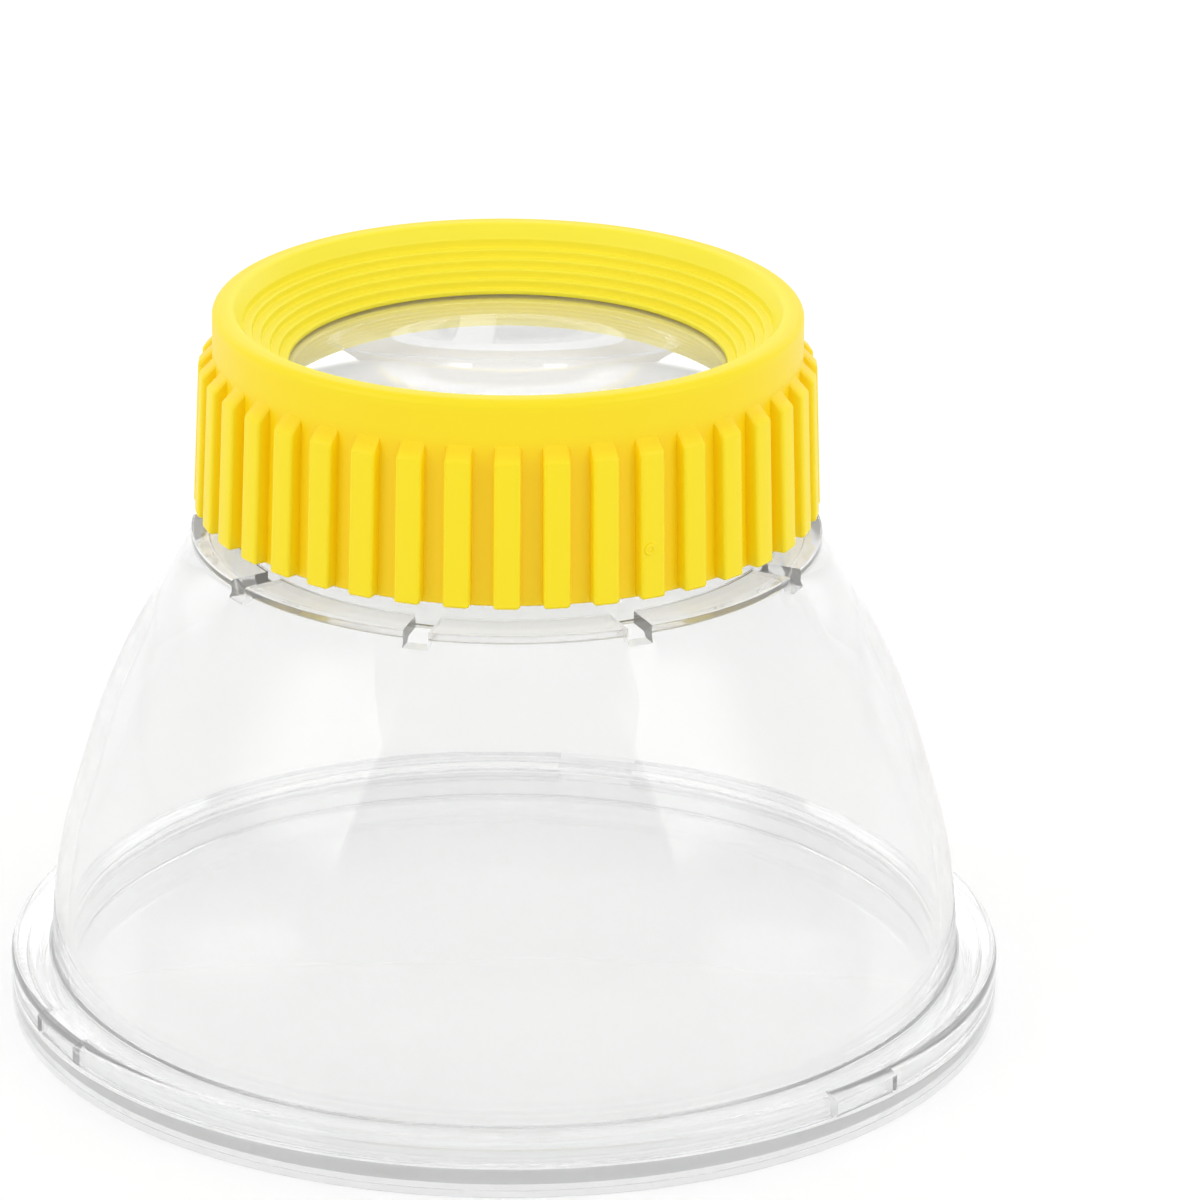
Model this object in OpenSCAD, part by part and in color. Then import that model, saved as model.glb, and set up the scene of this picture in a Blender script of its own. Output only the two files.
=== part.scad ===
// Clear insect viewing jar: push-on base tray, flared body, screw cap with a magnifying lens.
// Millimetres, +Z up, origin under the middle of the tray, -Y towards the viewer.

/* [Base tray] */
// Diameter over the edge of the tray and of the body's flange
base_d = 120; // [112:1:128]
// Height of the tray's rim, up to the part line in the edge
rim_h = 3.6; // [3.2:0.1:4.2]
// Thickness of the tray's floor
floor_t = 1.8; // [1.4:0.1:2]
// Height of the floor above the surface that the rim stands on
foot_rise = 0.6; // [0.4:0.1:0.8]
// Thickness of the locating wall inside the body's skirt
locating_wall_t = 1.5; // [1.2:0.1:2]
// Length of each lug along the edge
lug_w = 9.6; // [6:0.2:12]
// Depth of each lug, inwards from near the edge
lug_depth = 3; // [2.4:0.1:3.4]

/* [Body] */
// Thickness of the flange's plate
flange_t = 1.1; // [0.9:0.1:1.4]
// Width of the flange outside the curved wall
flange_w = 5; // [4:0.1:6]
// Height of the skirt that hangs from the flange
skirt_h = 2.15; // [1.9:0.05:3]
// Thickness of the skirt
skirt_t = 2; // [1.6:0.1:2.4]
// Thickness of the curved wall
wall_t = 1.8; // [1.4:0.1:2.2]
// Height of the shelf under the cap
shelf_z = 60; // [50:0.5:70]
// Thickness of the shelf
shelf_t = 1.5; // [1.2:0.1:1.8]
// Width of the shelf outside the neck
shelf_w = 5; // [4:0.1:6]
// How far the shoulder curve turns the wall inwards, in degrees
shoulder_turn = 13.4; // [8:0.1:18]
// Outer diameter of the neck
neck_d = 65.2; // [63:0.2:66]
// Thickness of the neck
neck_t = 1.6; // [1.2:0.1:2]
// Height of the neck above the shelf
neck_h = 11.5; // [10.5:0.1:12]
// Number of air slots round the shelf
vent_count = 9; // [6:1:10]
// Width of an air slot
vent_w = 3; // [2:0.1:3.6]
// Depth of an air slot below the shelf's face
vent_h = 2.1; // [1.9:0.1:2.4]

/* [Thread] */
// Rise of the thread in one turn
pitch = 4; // [3.8:0.1:4.4]
// Turns of thread on the neck and in the cap
thread_turns = 1.25; // [1:0.05:1.3]
// Height of the thread's ridge
thread_h = 1; // [0.8:0.05:1.2]

/* [Cap] */
// Gap between the shelf and the closed cap
cap_gap = 2.8; // [2.4:0.1:3.4]
// Height of the cap
cap_h = 24.5; // [24:0.1:26]
// Thickness of the cap's wall at its lower edge
cap_wall_t = 1.6; // [1.4:0.1:2.2]
// How far the wall draws in between its lower edge and the collar
cap_taper = 0.65; // [0.4:0.05:0.7]
// How far the ribs stand out at the cap's lower edge
rib_foot_depth = 1.7; // [1.2:0.1:2.4]
// How far the ribs stand out at their upper ends
rib_head_depth = 1.65; // [1.2:0.05:2.4]
// Height of the ribs above the cap's lower edge
rib_h = 19.2; // [17.5:0.1:20]
// Number of grip ribs
rib_count = 40; // [30:1:44]
// Width of a rib
rib_w = 3.1; // [2.4:0.1:3.4]

/* [Eye funnel] */
// Width of the rounded lip
lip_w = 2.8; // [2.4:0.1:3.1]
// Width of the sloped land inside the lip
land_w = 0.85; // [0.6:0.05:1.2]
// Fall of the land
land_drop = 1; // [0.8:0.05:1.2]
// Number of steps down to the eye opening
step_count = 5; // [4:1:6]
// Width of the whole flight of steps
steps_w = 5.3; // [4.8:0.1:5.8]
// Height of the whole flight of steps
steps_h = 4.8; // [4.5:0.1:5.1]
// Thickness of the edge round the eye opening
eye_edge_t = 0.6; // [0.5:0.1:1]
// Thickness of the funnel's wall
funnel_t = 1.4; // [1.2:0.1:1.6]

/* [Lens] */
// How far the lens reaches behind the edge of the eye opening
lens_overlap = 1.45; // [1.2:0.05:1.6]
// Thickness of the lens at its edge
lens_edge_t = 1.8; // [1.5:0.1:2.1]
// Rise of the upper lens face
lens_top_rise = 2.4; // [1.8:0.1:3]
// Rise of the lower lens face
lens_under_rise = 3.6; // [2.4:0.1:4]
// Width of the flat edge round each lens face
lens_land = 1.9; // [1.8:0.1:2.4]
// Thickness of the wall round the lens pocket
holder_t = 1.6; // [1.3:0.1:1.8]
// Thickness of the retaining ring
retainer_t = 2.1; // [1.6:0.1:2.4]
// Width of the retaining ring
retainer_w = 2; // [1.6:0.1:2.2]

/* [Fits] */
// Upright and sideways gap between the tray and the body
tray_clear = 0.3; // [0.25:0.05:0.4]
// Gap in the part line between the tray's rim and the body's skirt
part_line_gap = 0.15; // [0.1:0.05:0.3]
// Gap between the two threads and the walls that they face
thread_clear = 0.3; // [0.25:0.05:0.4]
// Gap round the lens
lens_clear = 0.15; // [0.1:0.05:0.2]

/* [Hidden] */
$fn = 96;

// Middles of the three lugs, in degrees to the right of the front
LUG_ANGLES = [-62.5, 45, 168];
// Middle of the first air slot, in degrees to the right of the front
VENT_START = -16;
// Steps of a rounded outline, in degrees
ARC_STEP = 6;
// Steps of the wall's long curves, in degrees
WALL_STEP = 1.5;
// Steps of a lens face, in degrees
LENS_STEP = 1.5;
// Where both threads start, in degrees round from the right, counterclockwise from above
THREAD_START = 200;
// Rings of a thread in one turn, and the rings over which its ends run out
THREAD_RINGS = 36;
RUNOUT_RINGS = 3;
// How far a cut runs past the face that it opens
OVERRUN = 1;
// How far a thread's root is sunk into the wall that carries it
ROOT_SINK = 0.5;

// Parts of the wall's height that its lower curve, straight middle and shoulder curve take
lower_share = 0.344;
middle_share = 0.142;
shoulder_share = 0.312;
// Widths of a thread's ridge at its root and crest, as shares of the pitch
root_share = 0.55;
crest_share = 0.3;
// Halvings that find the lean of the wall
LEAN_TRIES = 40;

base_r = base_d / 2;
neck_r = neck_d / 2;
edge_round = skirt_t / 2;
edge_bevel = rim_h / 8;
foot_fillet = flange_t * 0.7;
lip_out_round = lip_w * 0.43;
lip_in_round = lip_w * 0.27;

// Heights and radii of the body's edge
skirt_z = rim_h + part_line_gap;
plate_under_z = skirt_z + skirt_h;
flange_z = plate_under_z + flange_t;
skirt_in_r = base_r - skirt_t;
foot_r = base_r - flange_w;

// Tray
floor_z = foot_rise + floor_t;
locating_out_r = skirt_in_r - tray_clear;
locating_in_r = locating_out_r - locating_wall_t;
locating_z = plate_under_z - 2 * tray_clear;
stand_in_r = locating_in_r + foot_rise;
lug_out_r = base_r - skirt_t * 0.3;
lug_z = plate_under_z - tray_clear;

// Body
wall_end_z = floor_z + tray_clear;
neck_in_r = neck_r - neck_t;
neck_z = shelf_z + neck_h;
shelf_under_z = shelf_z - shelf_t;
shelf_r = neck_r + shelf_w;
neck_bevel = neck_t / 4;
shelf_round = shelf_t / 5;

// Heights of the wall's lower curve, straight middle, shoulder curve and straight top
wall_h = shelf_under_z - flange_z;
lower_h = wall_h * lower_share;
middle_h = wall_h * middle_share;
shoulder_h = wall_h * shoulder_share;
top_h = wall_h - lower_h - middle_h - shoulder_h;
// How far the wall runs inwards up to the shelf, when its middle leans by an angle
function run_in(lean) = lower_h * tan(lean / 2) + middle_h * tan(lean)
    + shoulder_h * tan(lean + shoulder_turn / 2) + top_h * tan(lean + shoulder_turn);
// The lean at which the wall ends at the shelf's edge, found by halving
function lean_between(low, high, tries) =
    let (half = (low + high) / 2)
    tries == 0 ? half
        : run_in(half) < foot_r - shelf_r ? lean_between(half, high, tries - 1)
        : lean_between(low, half, tries - 1);
middle_lean = lean_between(0, 90 - shoulder_turn, LEAN_TRIES);
shoulder_lean = middle_lean + shoulder_turn;
lower_curve_r = lower_h / sin(middle_lean);
shoulder_curve_r = shoulder_h / (sin(shoulder_lean) - sin(middle_lean));
// Points of the wall's face t below the outer one, at each turn of the curves
function lower_r(a, t) = foot_r - lower_curve_r + (lower_curve_r - t) * cos(a);
function lower_z(a, t) = flange_z + (lower_curve_r - t) * sin(a);
shoulder_mid_r = lower_r(middle_lean, 0) - middle_h * tan(middle_lean) - shoulder_curve_r * cos(middle_lean);
shoulder_mid_z = flange_z + lower_h + middle_h - shoulder_curve_r * sin(middle_lean);
function upper_r(a, t) = shoulder_mid_r + (shoulder_curve_r - t) * cos(a);
function upper_z(a, t) = shoulder_mid_z + (shoulder_curve_r - t) * sin(a);
// Where the shoulder's face, t below the outer one, reaches a height
function shoulder_r(z, t) = upper_r(shoulder_lean, t)
    - (z - upper_z(shoulder_lean, t)) * tan(shoulder_lean);

// Cap
cap_z = shelf_z + cap_gap;
cap_top_z = cap_z + cap_h;
cap_in_r = neck_r + thread_h + thread_clear;
skirt_foot_r = cap_in_r + cap_wall_t;
collar_r = skirt_foot_r - cap_taper;
neck_room_z = neck_z + thread_clear;
upper_in_r = collar_r - funnel_t;
land_in_r = collar_r - lip_w - land_w;
eye_r = land_in_r - steps_w;
lens_r = eye_r + lens_overlap;
step_w = steps_w / step_count;
step_h = steps_h / step_count;
land_z = cap_top_z - lip_in_round;
steps_z = land_z - land_drop;
eye_z = steps_z - steps_h;
seat_z = eye_z - eye_edge_t;
pocket_r = lens_r + lens_clear;
holder_r = pocket_r + holder_t;
// Sloped underside of the funnel, at radius r
under_shift = funnel_t * sqrt(1 + pow(steps_h / steps_w, 2));
function under_z(r) = steps_z - under_shift - step_h - (land_in_r - r) * steps_h / steps_w;

// Lens and ring
lens_top_z = seat_z - lens_clear;
lens_under_z = lens_top_z - lens_edge_t;
retainer_z = lens_under_z - lens_clear - retainer_t;
holder_z = retainer_z - lens_clear;
lens_face_r = lens_r - lens_land;

// Threads: the cap's ridge runs half a pitch above the neck's
neck_thread_z = shelf_z + pitch;
cap_thread_z = neck_thread_z + pitch / 2;
ridge_root_w = pitch * root_share;
ridge_crest_w = pitch * crest_share;

// Points of a circular arc round [r, z] from angle a to angle b
function arc_points(r, z, radius, a, b) =
    let (n = ceil(abs(b - a) / ARC_STEP))
    [for (i = [0:n]) let (t = a + (b - a) * i / n) [r + radius * cos(t), z + radius * sin(t)]];

// Points of the wall's face t below the outer one, from the flange up to the shelf
function wall_points(t) =
    let (n = ceil(middle_lean / WALL_STEP), m = ceil((shoulder_lean - middle_lean) / WALL_STEP))
    concat(
        [for (i = [0:n]) let (a = middle_lean * i / n) [lower_r(a, t), lower_z(a, t)]],
        [for (i = [0:m]) let (a = middle_lean + (shoulder_lean - middle_lean) * i / m)
            [upper_r(a, t), upper_z(a, t)]],
        [[shoulder_r(shelf_under_z, t), shelf_under_z]]);

function reversed(list) = [for (i = [len(list) - 1:-1:0]) list[i]];

// One ring of a thread's ridge: root_r carries it, side is 1 outwards and -1 inwards
function ridge_ring(root_r, side, z0, j, rings) =
    let (
        a = THREAD_START + 360 * j / THREAD_RINGS,
        z = z0 + pitch * j / THREAD_RINGS,
        height_share = min(1, j / RUNOUT_RINGS, (rings - j) / RUNOUT_RINGS),
        root = root_r - side * ROOT_SINK,
        crest = root + side * (ROOT_SINK / 2 + (thread_h + ROOT_SINK / 2) * height_share))
    [for (p = [[root, -ridge_root_w / 2], [crest, -ridge_crest_w / 2],
               [crest, ridge_crest_w / 2], [root, ridge_root_w / 2]])
        [p[0] * cos(a), p[0] * sin(a), z + p[1]]];

// A single-start thread ridge as one closed skin
module thread_ridge(root_r, side, z0) {
    rings = ceil(thread_turns * THREAD_RINGS);
    points = [for (j = [0:rings]) each ridge_ring(root_r, side, z0, j, rings)];
    sides = [for (j = [0:rings - 1]) for (k = [0:3])
        [4 * j + k, 4 * j + (k + 1) % 4, 4 * (j + 1) + (k + 1) % 4, 4 * (j + 1) + k]];
    first = [3, 2, 1, 0];
    last = [for (k = [0:3]) 4 * rings + k];
    faces = concat([first], sides, [last]);
    turned = [for (f = faces) reversed(f)];
    split = [for (f = side > 0 ? faces : turned) each [[f[0], f[1], f[2]], [f[0], f[2], f[3]]]];
    polyhedron(points, split);
}

// Places its children on the edge, the angle counted to the right of the front
module at_edge(angle) rotate([0, 0, angle - 90]) children();

// A block that reaches outwards from one radius to another, centred on its width
module radial_block(from_r, to_r, width, low_z, high_z)
    translate([from_r, -width / 2, low_z]) cube([to_r - from_r, width, high_z - low_z]);

module base_tray() {
    color([0.9, 0.92, 0.93, 0.35]) {
        rotate_extrude() polygon(concat(
            [[0, foot_rise], [locating_in_r, foot_rise], [stand_in_r, 0],
             [base_r - edge_bevel, 0], [base_r, edge_bevel], [base_r, rim_h - edge_bevel],
             [base_r - edge_bevel, rim_h], [locating_out_r, rim_h],
             [locating_out_r, locating_z], [locating_in_r, locating_z],
             [locating_in_r, floor_z], [0, floor_z]]));
        for (a = LUG_ANGLES) at_edge(a)
            radial_block(lug_out_r - lug_depth, lug_out_r, lug_w, rim_h / 2, lug_z);
    }
}

module jar_body() {
    color([0.9, 0.92, 0.93, 0.35]) {
        difference() {
            rotate_extrude() polygon(concat(
                [[skirt_in_r, skirt_z], [base_r - edge_bevel, skirt_z], [base_r, skirt_z + edge_bevel]],
                arc_points(base_r - edge_round, flange_z - edge_round, edge_round, 0, 90),
                [[foot_r + foot_fillet, flange_z]],
                [for (p = wall_points(0)) if (p[1] > flange_z + foot_fillet) p],
                arc_points(shelf_r - shelf_round, shelf_z - shelf_round, shelf_round, 0, 90),
                [[neck_r, shelf_z], [neck_r, neck_z - neck_bevel], [neck_r - neck_bevel, neck_z],
                 [neck_in_r + neck_bevel, neck_z], [neck_in_r, neck_z - neck_bevel],
                 [neck_in_r, shelf_under_z]],
                reversed(wall_points(wall_t)),
                [[foot_r - wall_t, wall_end_z], [foot_r, wall_end_z], [foot_r, plate_under_z],
                 [skirt_in_r, plate_under_z]]));
            for (i = [0:vent_count - 1]) at_edge(VENT_START + 360 * i / vent_count)
                radial_block(neck_r, shelf_r + OVERRUN, vent_w, shelf_z - vent_h, shelf_z + OVERRUN);
            for (a = LUG_ANGLES) at_edge(a)
                radial_block(skirt_in_r - tray_clear, base_r + OVERRUN, lug_w + 2 * tray_clear,
                    skirt_z - OVERRUN, plate_under_z);
        }
        thread_ridge(neck_r, 1, neck_thread_z);
    }
}

// Radius of a spherical lens face that rises so far within the lens's flat edge
function face_radius(rise) = (pow(lens_face_r, 2) + pow(rise, 2)) / (2 * rise);

// Points of a spherical face from the middle out, its rim at height z; side is 1 up and -1 down
function face_points(z, rise, side) =
    let (radius = face_radius(rise), spread = asin(lens_face_r / radius), n = ceil(spread / LENS_STEP))
    [for (i = [0:n]) let (a = spread * i / n)
        [radius * sin(a), z + side * (rise - radius * (1 - cos(a)))]];

module lens() {
    color([0.85, 0.9, 0.95, 0.4])
        rotate_extrude() polygon(concat(
            face_points(lens_under_z, lens_under_rise, -1),
            [[lens_r, lens_under_z], [lens_r, lens_top_z]],
            reversed(face_points(lens_top_z, lens_top_rise, 1))));
}

module lens_retainer() {
    color([0.98, 0.86, 0.1])
        rotate_extrude() translate([pocket_r - retainer_w, retainer_z])
            square([retainer_w, retainer_t]);
}

// Points of the flight of steps from the land down to the eye opening
function step_points() = [for (i = [0:step_count - 1]) each
    [[land_in_r - i * step_w, steps_z - (i + 1) * step_h],
     [land_in_r - (i + 1) * step_w, steps_z - (i + 1) * step_h]]];

module cap_shell() {
    rotate_extrude() polygon(concat(
        [[cap_in_r, cap_z], [skirt_foot_r, cap_z], [collar_r, cap_z + rib_h]],
        arc_points(collar_r - lip_out_round, cap_top_z - lip_out_round, lip_out_round, 0, 90),
        arc_points(collar_r - lip_w + lip_in_round, land_z, lip_in_round, 90, 180),
        [[land_in_r, steps_z]],
        step_points(),
        [[eye_r, seat_z], [pocket_r, seat_z], [pocket_r, holder_z], [holder_r, holder_z],
         [holder_r, under_z(holder_r)], [upper_in_r, under_z(upper_in_r)],
         [upper_in_r, neck_room_z + cap_in_r - upper_in_r], [cap_in_r, neck_room_z]]));
}

module grip_ribs() {
    intersection() {
        rotate_extrude() polygon([
            [cap_in_r + thread_clear, cap_z], [skirt_foot_r + rib_foot_depth, cap_z],
            [collar_r + rib_head_depth, cap_z + rib_h - rib_head_depth], [collar_r, cap_z + rib_h],
            [cap_in_r + thread_clear, cap_z + rib_h]]);
        for (i = [0:rib_count - 1]) at_edge(360 * i / rib_count)
            radial_block(cap_in_r, skirt_foot_r + rib_foot_depth + OVERRUN, rib_w,
                cap_z - OVERRUN, cap_z + rib_h + OVERRUN);
    }
}

module focus_cap() {
    color([0.98, 0.86, 0.1]) {
        cap_shell();
        grip_ribs();
        thread_ridge(cap_in_r, -1, cap_thread_z);
    }
}

base_tray();
jar_body();
lens();
lens_retainer();
focus_cap();
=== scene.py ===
"""The looks of a clear insect viewing jar with a yellow screw cap and a magnifying lens, around the frame.

Metres, +Z up, -Y towards the viewer. Angles round the jar are counted to the right of the front, in degrees.
"""

import math

import bmesh
import bpy
from mathutils import Matrix, Vector


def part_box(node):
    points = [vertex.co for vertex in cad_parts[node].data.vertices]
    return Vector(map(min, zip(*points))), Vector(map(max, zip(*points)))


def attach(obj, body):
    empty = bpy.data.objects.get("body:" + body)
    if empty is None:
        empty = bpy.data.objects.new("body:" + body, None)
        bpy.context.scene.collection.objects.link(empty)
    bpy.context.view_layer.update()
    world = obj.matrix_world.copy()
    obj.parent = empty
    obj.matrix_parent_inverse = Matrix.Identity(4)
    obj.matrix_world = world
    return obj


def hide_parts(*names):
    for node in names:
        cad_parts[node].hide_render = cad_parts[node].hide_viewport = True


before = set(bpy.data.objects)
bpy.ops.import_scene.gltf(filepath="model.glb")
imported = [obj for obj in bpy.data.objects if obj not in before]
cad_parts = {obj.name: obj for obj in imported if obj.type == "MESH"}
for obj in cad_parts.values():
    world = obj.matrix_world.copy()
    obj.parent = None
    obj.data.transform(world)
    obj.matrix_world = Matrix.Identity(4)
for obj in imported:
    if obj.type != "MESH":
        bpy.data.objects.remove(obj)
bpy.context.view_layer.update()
MM = 0.001


def reach(node):
    """The radius of a round node, as its box gives it."""
    low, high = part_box(node)
    return min(-low.x, high.x, -low.y, high.y)


# Edge of the tray and of the body's flange
BASE_R = reach("base_tray")
RIM_H = 3.6 * MM
PART_LINE_GAP = 0.15 * MM
SKIRT_H = 2.15 * MM
SKIRT_T = 2 * MM
FLANGE_T = 1.1 * MM
FLANGE_W = 5 * MM
SKIRT_Z = RIM_H + PART_LINE_GAP
PLATE_UNDER_Z = SKIRT_Z + SKIRT_H
FLANGE_Z = PLATE_UNDER_Z + FLANGE_T
SKIRT_IN_R = BASE_R - SKIRT_T
FOOT_R = BASE_R - FLANGE_W
EDGE_BEVEL = 0.45 * MM

# Tray
TRAY_CLEAR = 0.3 * MM
FOOT_RISE = 0.6 * MM
FLOOR_Z = FOOT_RISE + 1.8 * MM
LOCATING_OUT_R = SKIRT_IN_R - TRAY_CLEAR
LOCATING_IN_R = LOCATING_OUT_R - 1.5 * MM
LOCATING_Z = PLATE_UNDER_Z - 2 * TRAY_CLEAR
LUG_ANGLES = (-62.5, 45, 168)
LUG_W = 9.6 * MM
LUG_DEPTH = 3 * MM
LUG_OUT_R = BASE_R - 0.6 * MM
LUG_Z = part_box("base_tray")[1].z

# Body
WALL_T = 1.8 * MM
WALL_END_Z = FLOOR_Z + TRAY_CLEAR
NECK_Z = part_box("jar_body")[1].z
NECK_R = 32.6 * MM
NECK_T = 1.6 * MM
NECK_IN_R = NECK_R - NECK_T
SHELF_Z = NECK_Z - 11.5 * MM
SHELF_T = 1.5 * MM
SHELF_UNDER_Z = SHELF_Z - SHELF_T
SHELF_R = NECK_R + 5 * MM
SHOULDER_TURN = 13.4
# Parts of the wall's height that its lower curve, straight middle and shoulder curve take
WALL_SHARES = (0.344, 0.142, 0.312)
LEAN_TRIES = 40
VENT_COUNT = 9
VENT_START = -16
VENT_W = 3 * MM
VENT_H = 2.1 * MM

# Thread
PITCH = 4 * MM
THREAD_TURNS = 1.25
THREAD_START = 200
THREAD_H = 1 * MM
RIDGE_ROOT_W = 0.55 * PITCH
RIDGE_CREST_W = 0.3 * PITCH
ROOT_SINK = 0.5 * MM
# Part of the thread's length over which each end runs out, and how much of the ridge is left there
RUN_OUT = 0.07
END_SHARE = 0.1
SPIRAL_STEPS = 72
NECK_THREAD_Z = SHELF_Z + PITCH
CAP_THREAD_Z = NECK_THREAD_Z + PITCH / 2

# Cap
CAP_Z, CAP_TOP_Z = (corner.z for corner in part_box("focus_cap"))
CAP_REACH = reach("focus_cap")
THREAD_CLEAR = 0.3 * MM
CAP_IN_R = NECK_R + THREAD_H + THREAD_CLEAR
SKIRT_FOOT_R = CAP_IN_R + 1.6 * MM
COLLAR_R = SKIRT_FOOT_R - 0.65 * MM
NECK_ROOM_Z = NECK_Z + THREAD_CLEAR
RIB_COUNT = 40
RIB_H = 19.2 * MM
RIB_W = 3.1 * MM
RIB_HEAD_DEPTH = 1.65 * MM
RIB_EDGE = 0.42 * MM
GATE_ANGLE = 26.2
GATE_Z = 69.05 * MM
GATE_R = 0.7 * MM
GATE_RISE = 0.24 * MM

# Eye funnel
LIP_W = 2.8 * MM
LIP_OUT_ROUND = 0.43 * LIP_W
LIP_IN_ROUND = 0.27 * LIP_W
LAND_W = 0.85 * MM
LAND_DROP = 1 * MM
# Where the lip's inner rounding meets the land, in degrees round the rounding
LIP_END = 146
STEP_COUNT = 5
STEPS_W = 5.3 * MM
STEPS_H = 4.8 * MM
EYE_EDGE_T = 0.6 * MM
FUNNEL_T = 1.4 * MM
UPPER_IN_R = COLLAR_R - FUNNEL_T
LAND_IN_R = COLLAR_R - LIP_W - LAND_W
EYE_R = LAND_IN_R - STEPS_W
STEPS_Z = CAP_TOP_Z - LIP_IN_ROUND - LAND_DROP
EYE_Z = STEPS_Z - STEPS_H
SEAT_Z = EYE_Z - EYE_EDGE_T

# Lens and the ring that holds it
LENS_R = reach("lens")
LENS_CLEAR = 0.15 * MM
LENS_EDGE_T = 1.8 * MM
LENS_LAND = 1.9 * MM
LENS_LOW_Z, LENS_HIGH_Z = (corner.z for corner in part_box("lens"))
LENS_TOP_Z = SEAT_Z - LENS_CLEAR
LENS_UNDER_Z = LENS_TOP_Z - LENS_EDGE_T
RING_Z, RING_TOP_Z = (corner.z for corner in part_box("lens_retainer"))
RING_R = reach("lens_retainer")
RING_W = 2 * MM
POCKET_R = EYE_R + 1.45 * MM + LENS_CLEAR
HOLDER_R = POCKET_R + 1.6 * MM
HOLDER_Z = RING_Z - LENS_CLEAR

# Rounding of moulded edges
SOFT = 0.3 * MM
CRISP = 0.15 * MM
# How fine a turned piece is: steps round the axis, and degrees along a rounded outline, the wall and a lens
TURN_STEPS = 240
MARK_STEPS = 48
ARC_STEP = 10
WALL_STEP = 1
LENS_STEP = 0.5
# Longest part of a side that one rounding takes
ROUNDING_SHARE = 0.45
# Closer than this, in metres, two places are one
TOUCH = 1e-9
# Edges that fold by more than this, in degrees, stay sharp
SHARP_ANGLE = 32

YELLOW = (0.985, 0.775, 0.004, 1)
PALE_YELLOW = (0.985, 0.79, 0.008, 1)
# Painted shade: a deeper yellow for the gaps between the ribs and, less of it, the collar, standing in for
# shade and bounce light
RIB_GAP_SHADE_YELLOW = (0.985, 0.7, 0.001, 1)
# Painted light: a paler yellow that makes the eye funnel's steps look more brightly lit
FUNNEL_LIT_YELLOW = (0.99, 0.86, 0.04, 1)
# How much less of the painted shade the collar gets than the gaps between the ribs
COLLAR_SHADE_SHARE = 0.6
CLEAR = (0.957, 0.96, 0.957, 1)
CLEAR_SHADE = (0.935, 0.938, 0.938, 1)
TRAY_TINT = (0.94, 0.943, 0.943, 1)
TRAY_SHADE = (0.915, 0.92, 0.92, 1)
LENS_TINT = (0.985, 0.987, 0.99, 1)
LENS_SHADE = (0.98, 0.98, 0.985, 1)
YELLOW_IOR = 1.42
# How clear each clear piece is, the rest being haze, and how much it bends light
BODY_CLEARNESS, BODY_IOR = 0.88, 1.42
TRAY_CLEARNESS, TRAY_IOR = 0.75, 1.36
LENS_CLEARNESS, LENS_IOR = 0.78, 1.46
COAT_IOR = 1.65
MOULDED_WAVES = 0.03 * MM
POLISHED_WAVES = 0.003 * MM
PEEL_DEPTH = 0.02 * MM
# Light that goes through clear plastic from a lamp
LAMPLIGHT = (0.98, 0.98, 0.98, 1)

WHITE = (1, 1, 1, 1)
PAPER = (0.84, 0.84, 0.84, 1)
PAPER_GRAIN = (0.86, 0.86, 0.86, 1)
PAPER_GLOW = 0.15
PAPER_REACH = 6
ROOM_LIGHT = (0.8, 0.8, 0.8, 1)
ROOM_TOP = (0.7, 0.7, 0.7, 1)
# How far up the room is white, and from where it is grey, as the sine of the angle above the floor
WHITE_UP_TO, GREY_FROM = 0.05, 0.4
# Part of a softbox's width or height over which it fades
FADE_UP = 0.25
FADE_ACROSS = 0.3
# Name, azimuth, elevation, width, height, radiance and bright side
LAMPS = (
    ("left_lamp", -70, 26, 0.95, 0.8, 2.1, 1),
    ("right_lamp", 66, 26, 0.75, 0.8, 2.3, -1),
    ("back_lamp", 180, 38.5, 1.1, 0.76, 1.4, 0),
    ("back_left_lamp", -137, 26, 0.55, 0.6, 1.8, 0),
    ("back_right_lamp", 137, 26, 0.55, 0.6, 1.8, 0),
    # The two strips give the lens its bright ends, low enough that the flat flange hardly mirrors them
    ("left_strip", -168.6, 17, 0.12, 0.18, 2.8, -1),
    ("right_strip", 168.6, 17, 0.12, 0.18, 2.8, 1),
    ("top_lamp", 0, 68, 0.8, 0.7, 1.3, 0))

FOCAL_PIXELS = 6500
PHOTO_SIDE = 1200
SENSOR = 36
# How far the camera looks down, to the right and tilted, in degrees
CAMERA_PITCH, CAMERA_YAW, CAMERA_ROLL = 20.74, 0.88, 0.64
CAMERA_PLACE = (0, -727.55 * MM, 325.8 * MM)


class Value:
    """A number that a node gives, on which Python's operators add Math nodes."""

    def __init__(self, nodes, socket):
        self.nodes = nodes
        self.socket = socket

    def math(self, operation, first, second):
        made = self.nodes.add("ShaderNodeMath", {"operation": operation}, {0: first, 1: second})
        return Value(self.nodes, made.outputs[0])

    def __add__(self, other):
        return self.math("ADD", self, other)

    def __sub__(self, other):
        return self.math("SUBTRACT", self, other)

    def __rsub__(self, other):
        return self.math("SUBTRACT", other, self)

    def __mul__(self, other):
        return self.math("MULTIPLY", self, other)

    def __truediv__(self, other):
        return self.math("DIVIDE", self, other)

    def __pow__(self, other):
        return self.math("POWER", self, other)

    def largest(self, other):
        return self.math("MAXIMUM", self, other)

    def smallest(self, other):
        return self.math("MINIMUM", self, other)

    __radd__ = __add__
    __rmul__ = __mul__


class Nodes:
    """Adds nodes to one tree: a node's type, its settings, then the values or links of its sockets."""

    def __init__(self, tree):
        self.tree = tree

    def add(self, kind, settings=None, sockets=None):
        node = self.tree.nodes.new(kind)
        for name, setting in (settings or {}).items():
            if name == "stops":
                for element, (place, colour) in zip(node.color_ramp.elements, setting):
                    element.position, element.color = place, colour
            else:
                setattr(node, name, setting)
        for name, value in (sockets or {}).items():
            if isinstance(value, Value):
                value = value.socket
            if isinstance(value, bpy.types.NodeSocket):
                self.tree.links.new(value, node.inputs[name])
            else:
                node.inputs[name].default_value = value
        return node

    def value(self, node, output=0):
        return Value(self, node.outputs[output])


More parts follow.
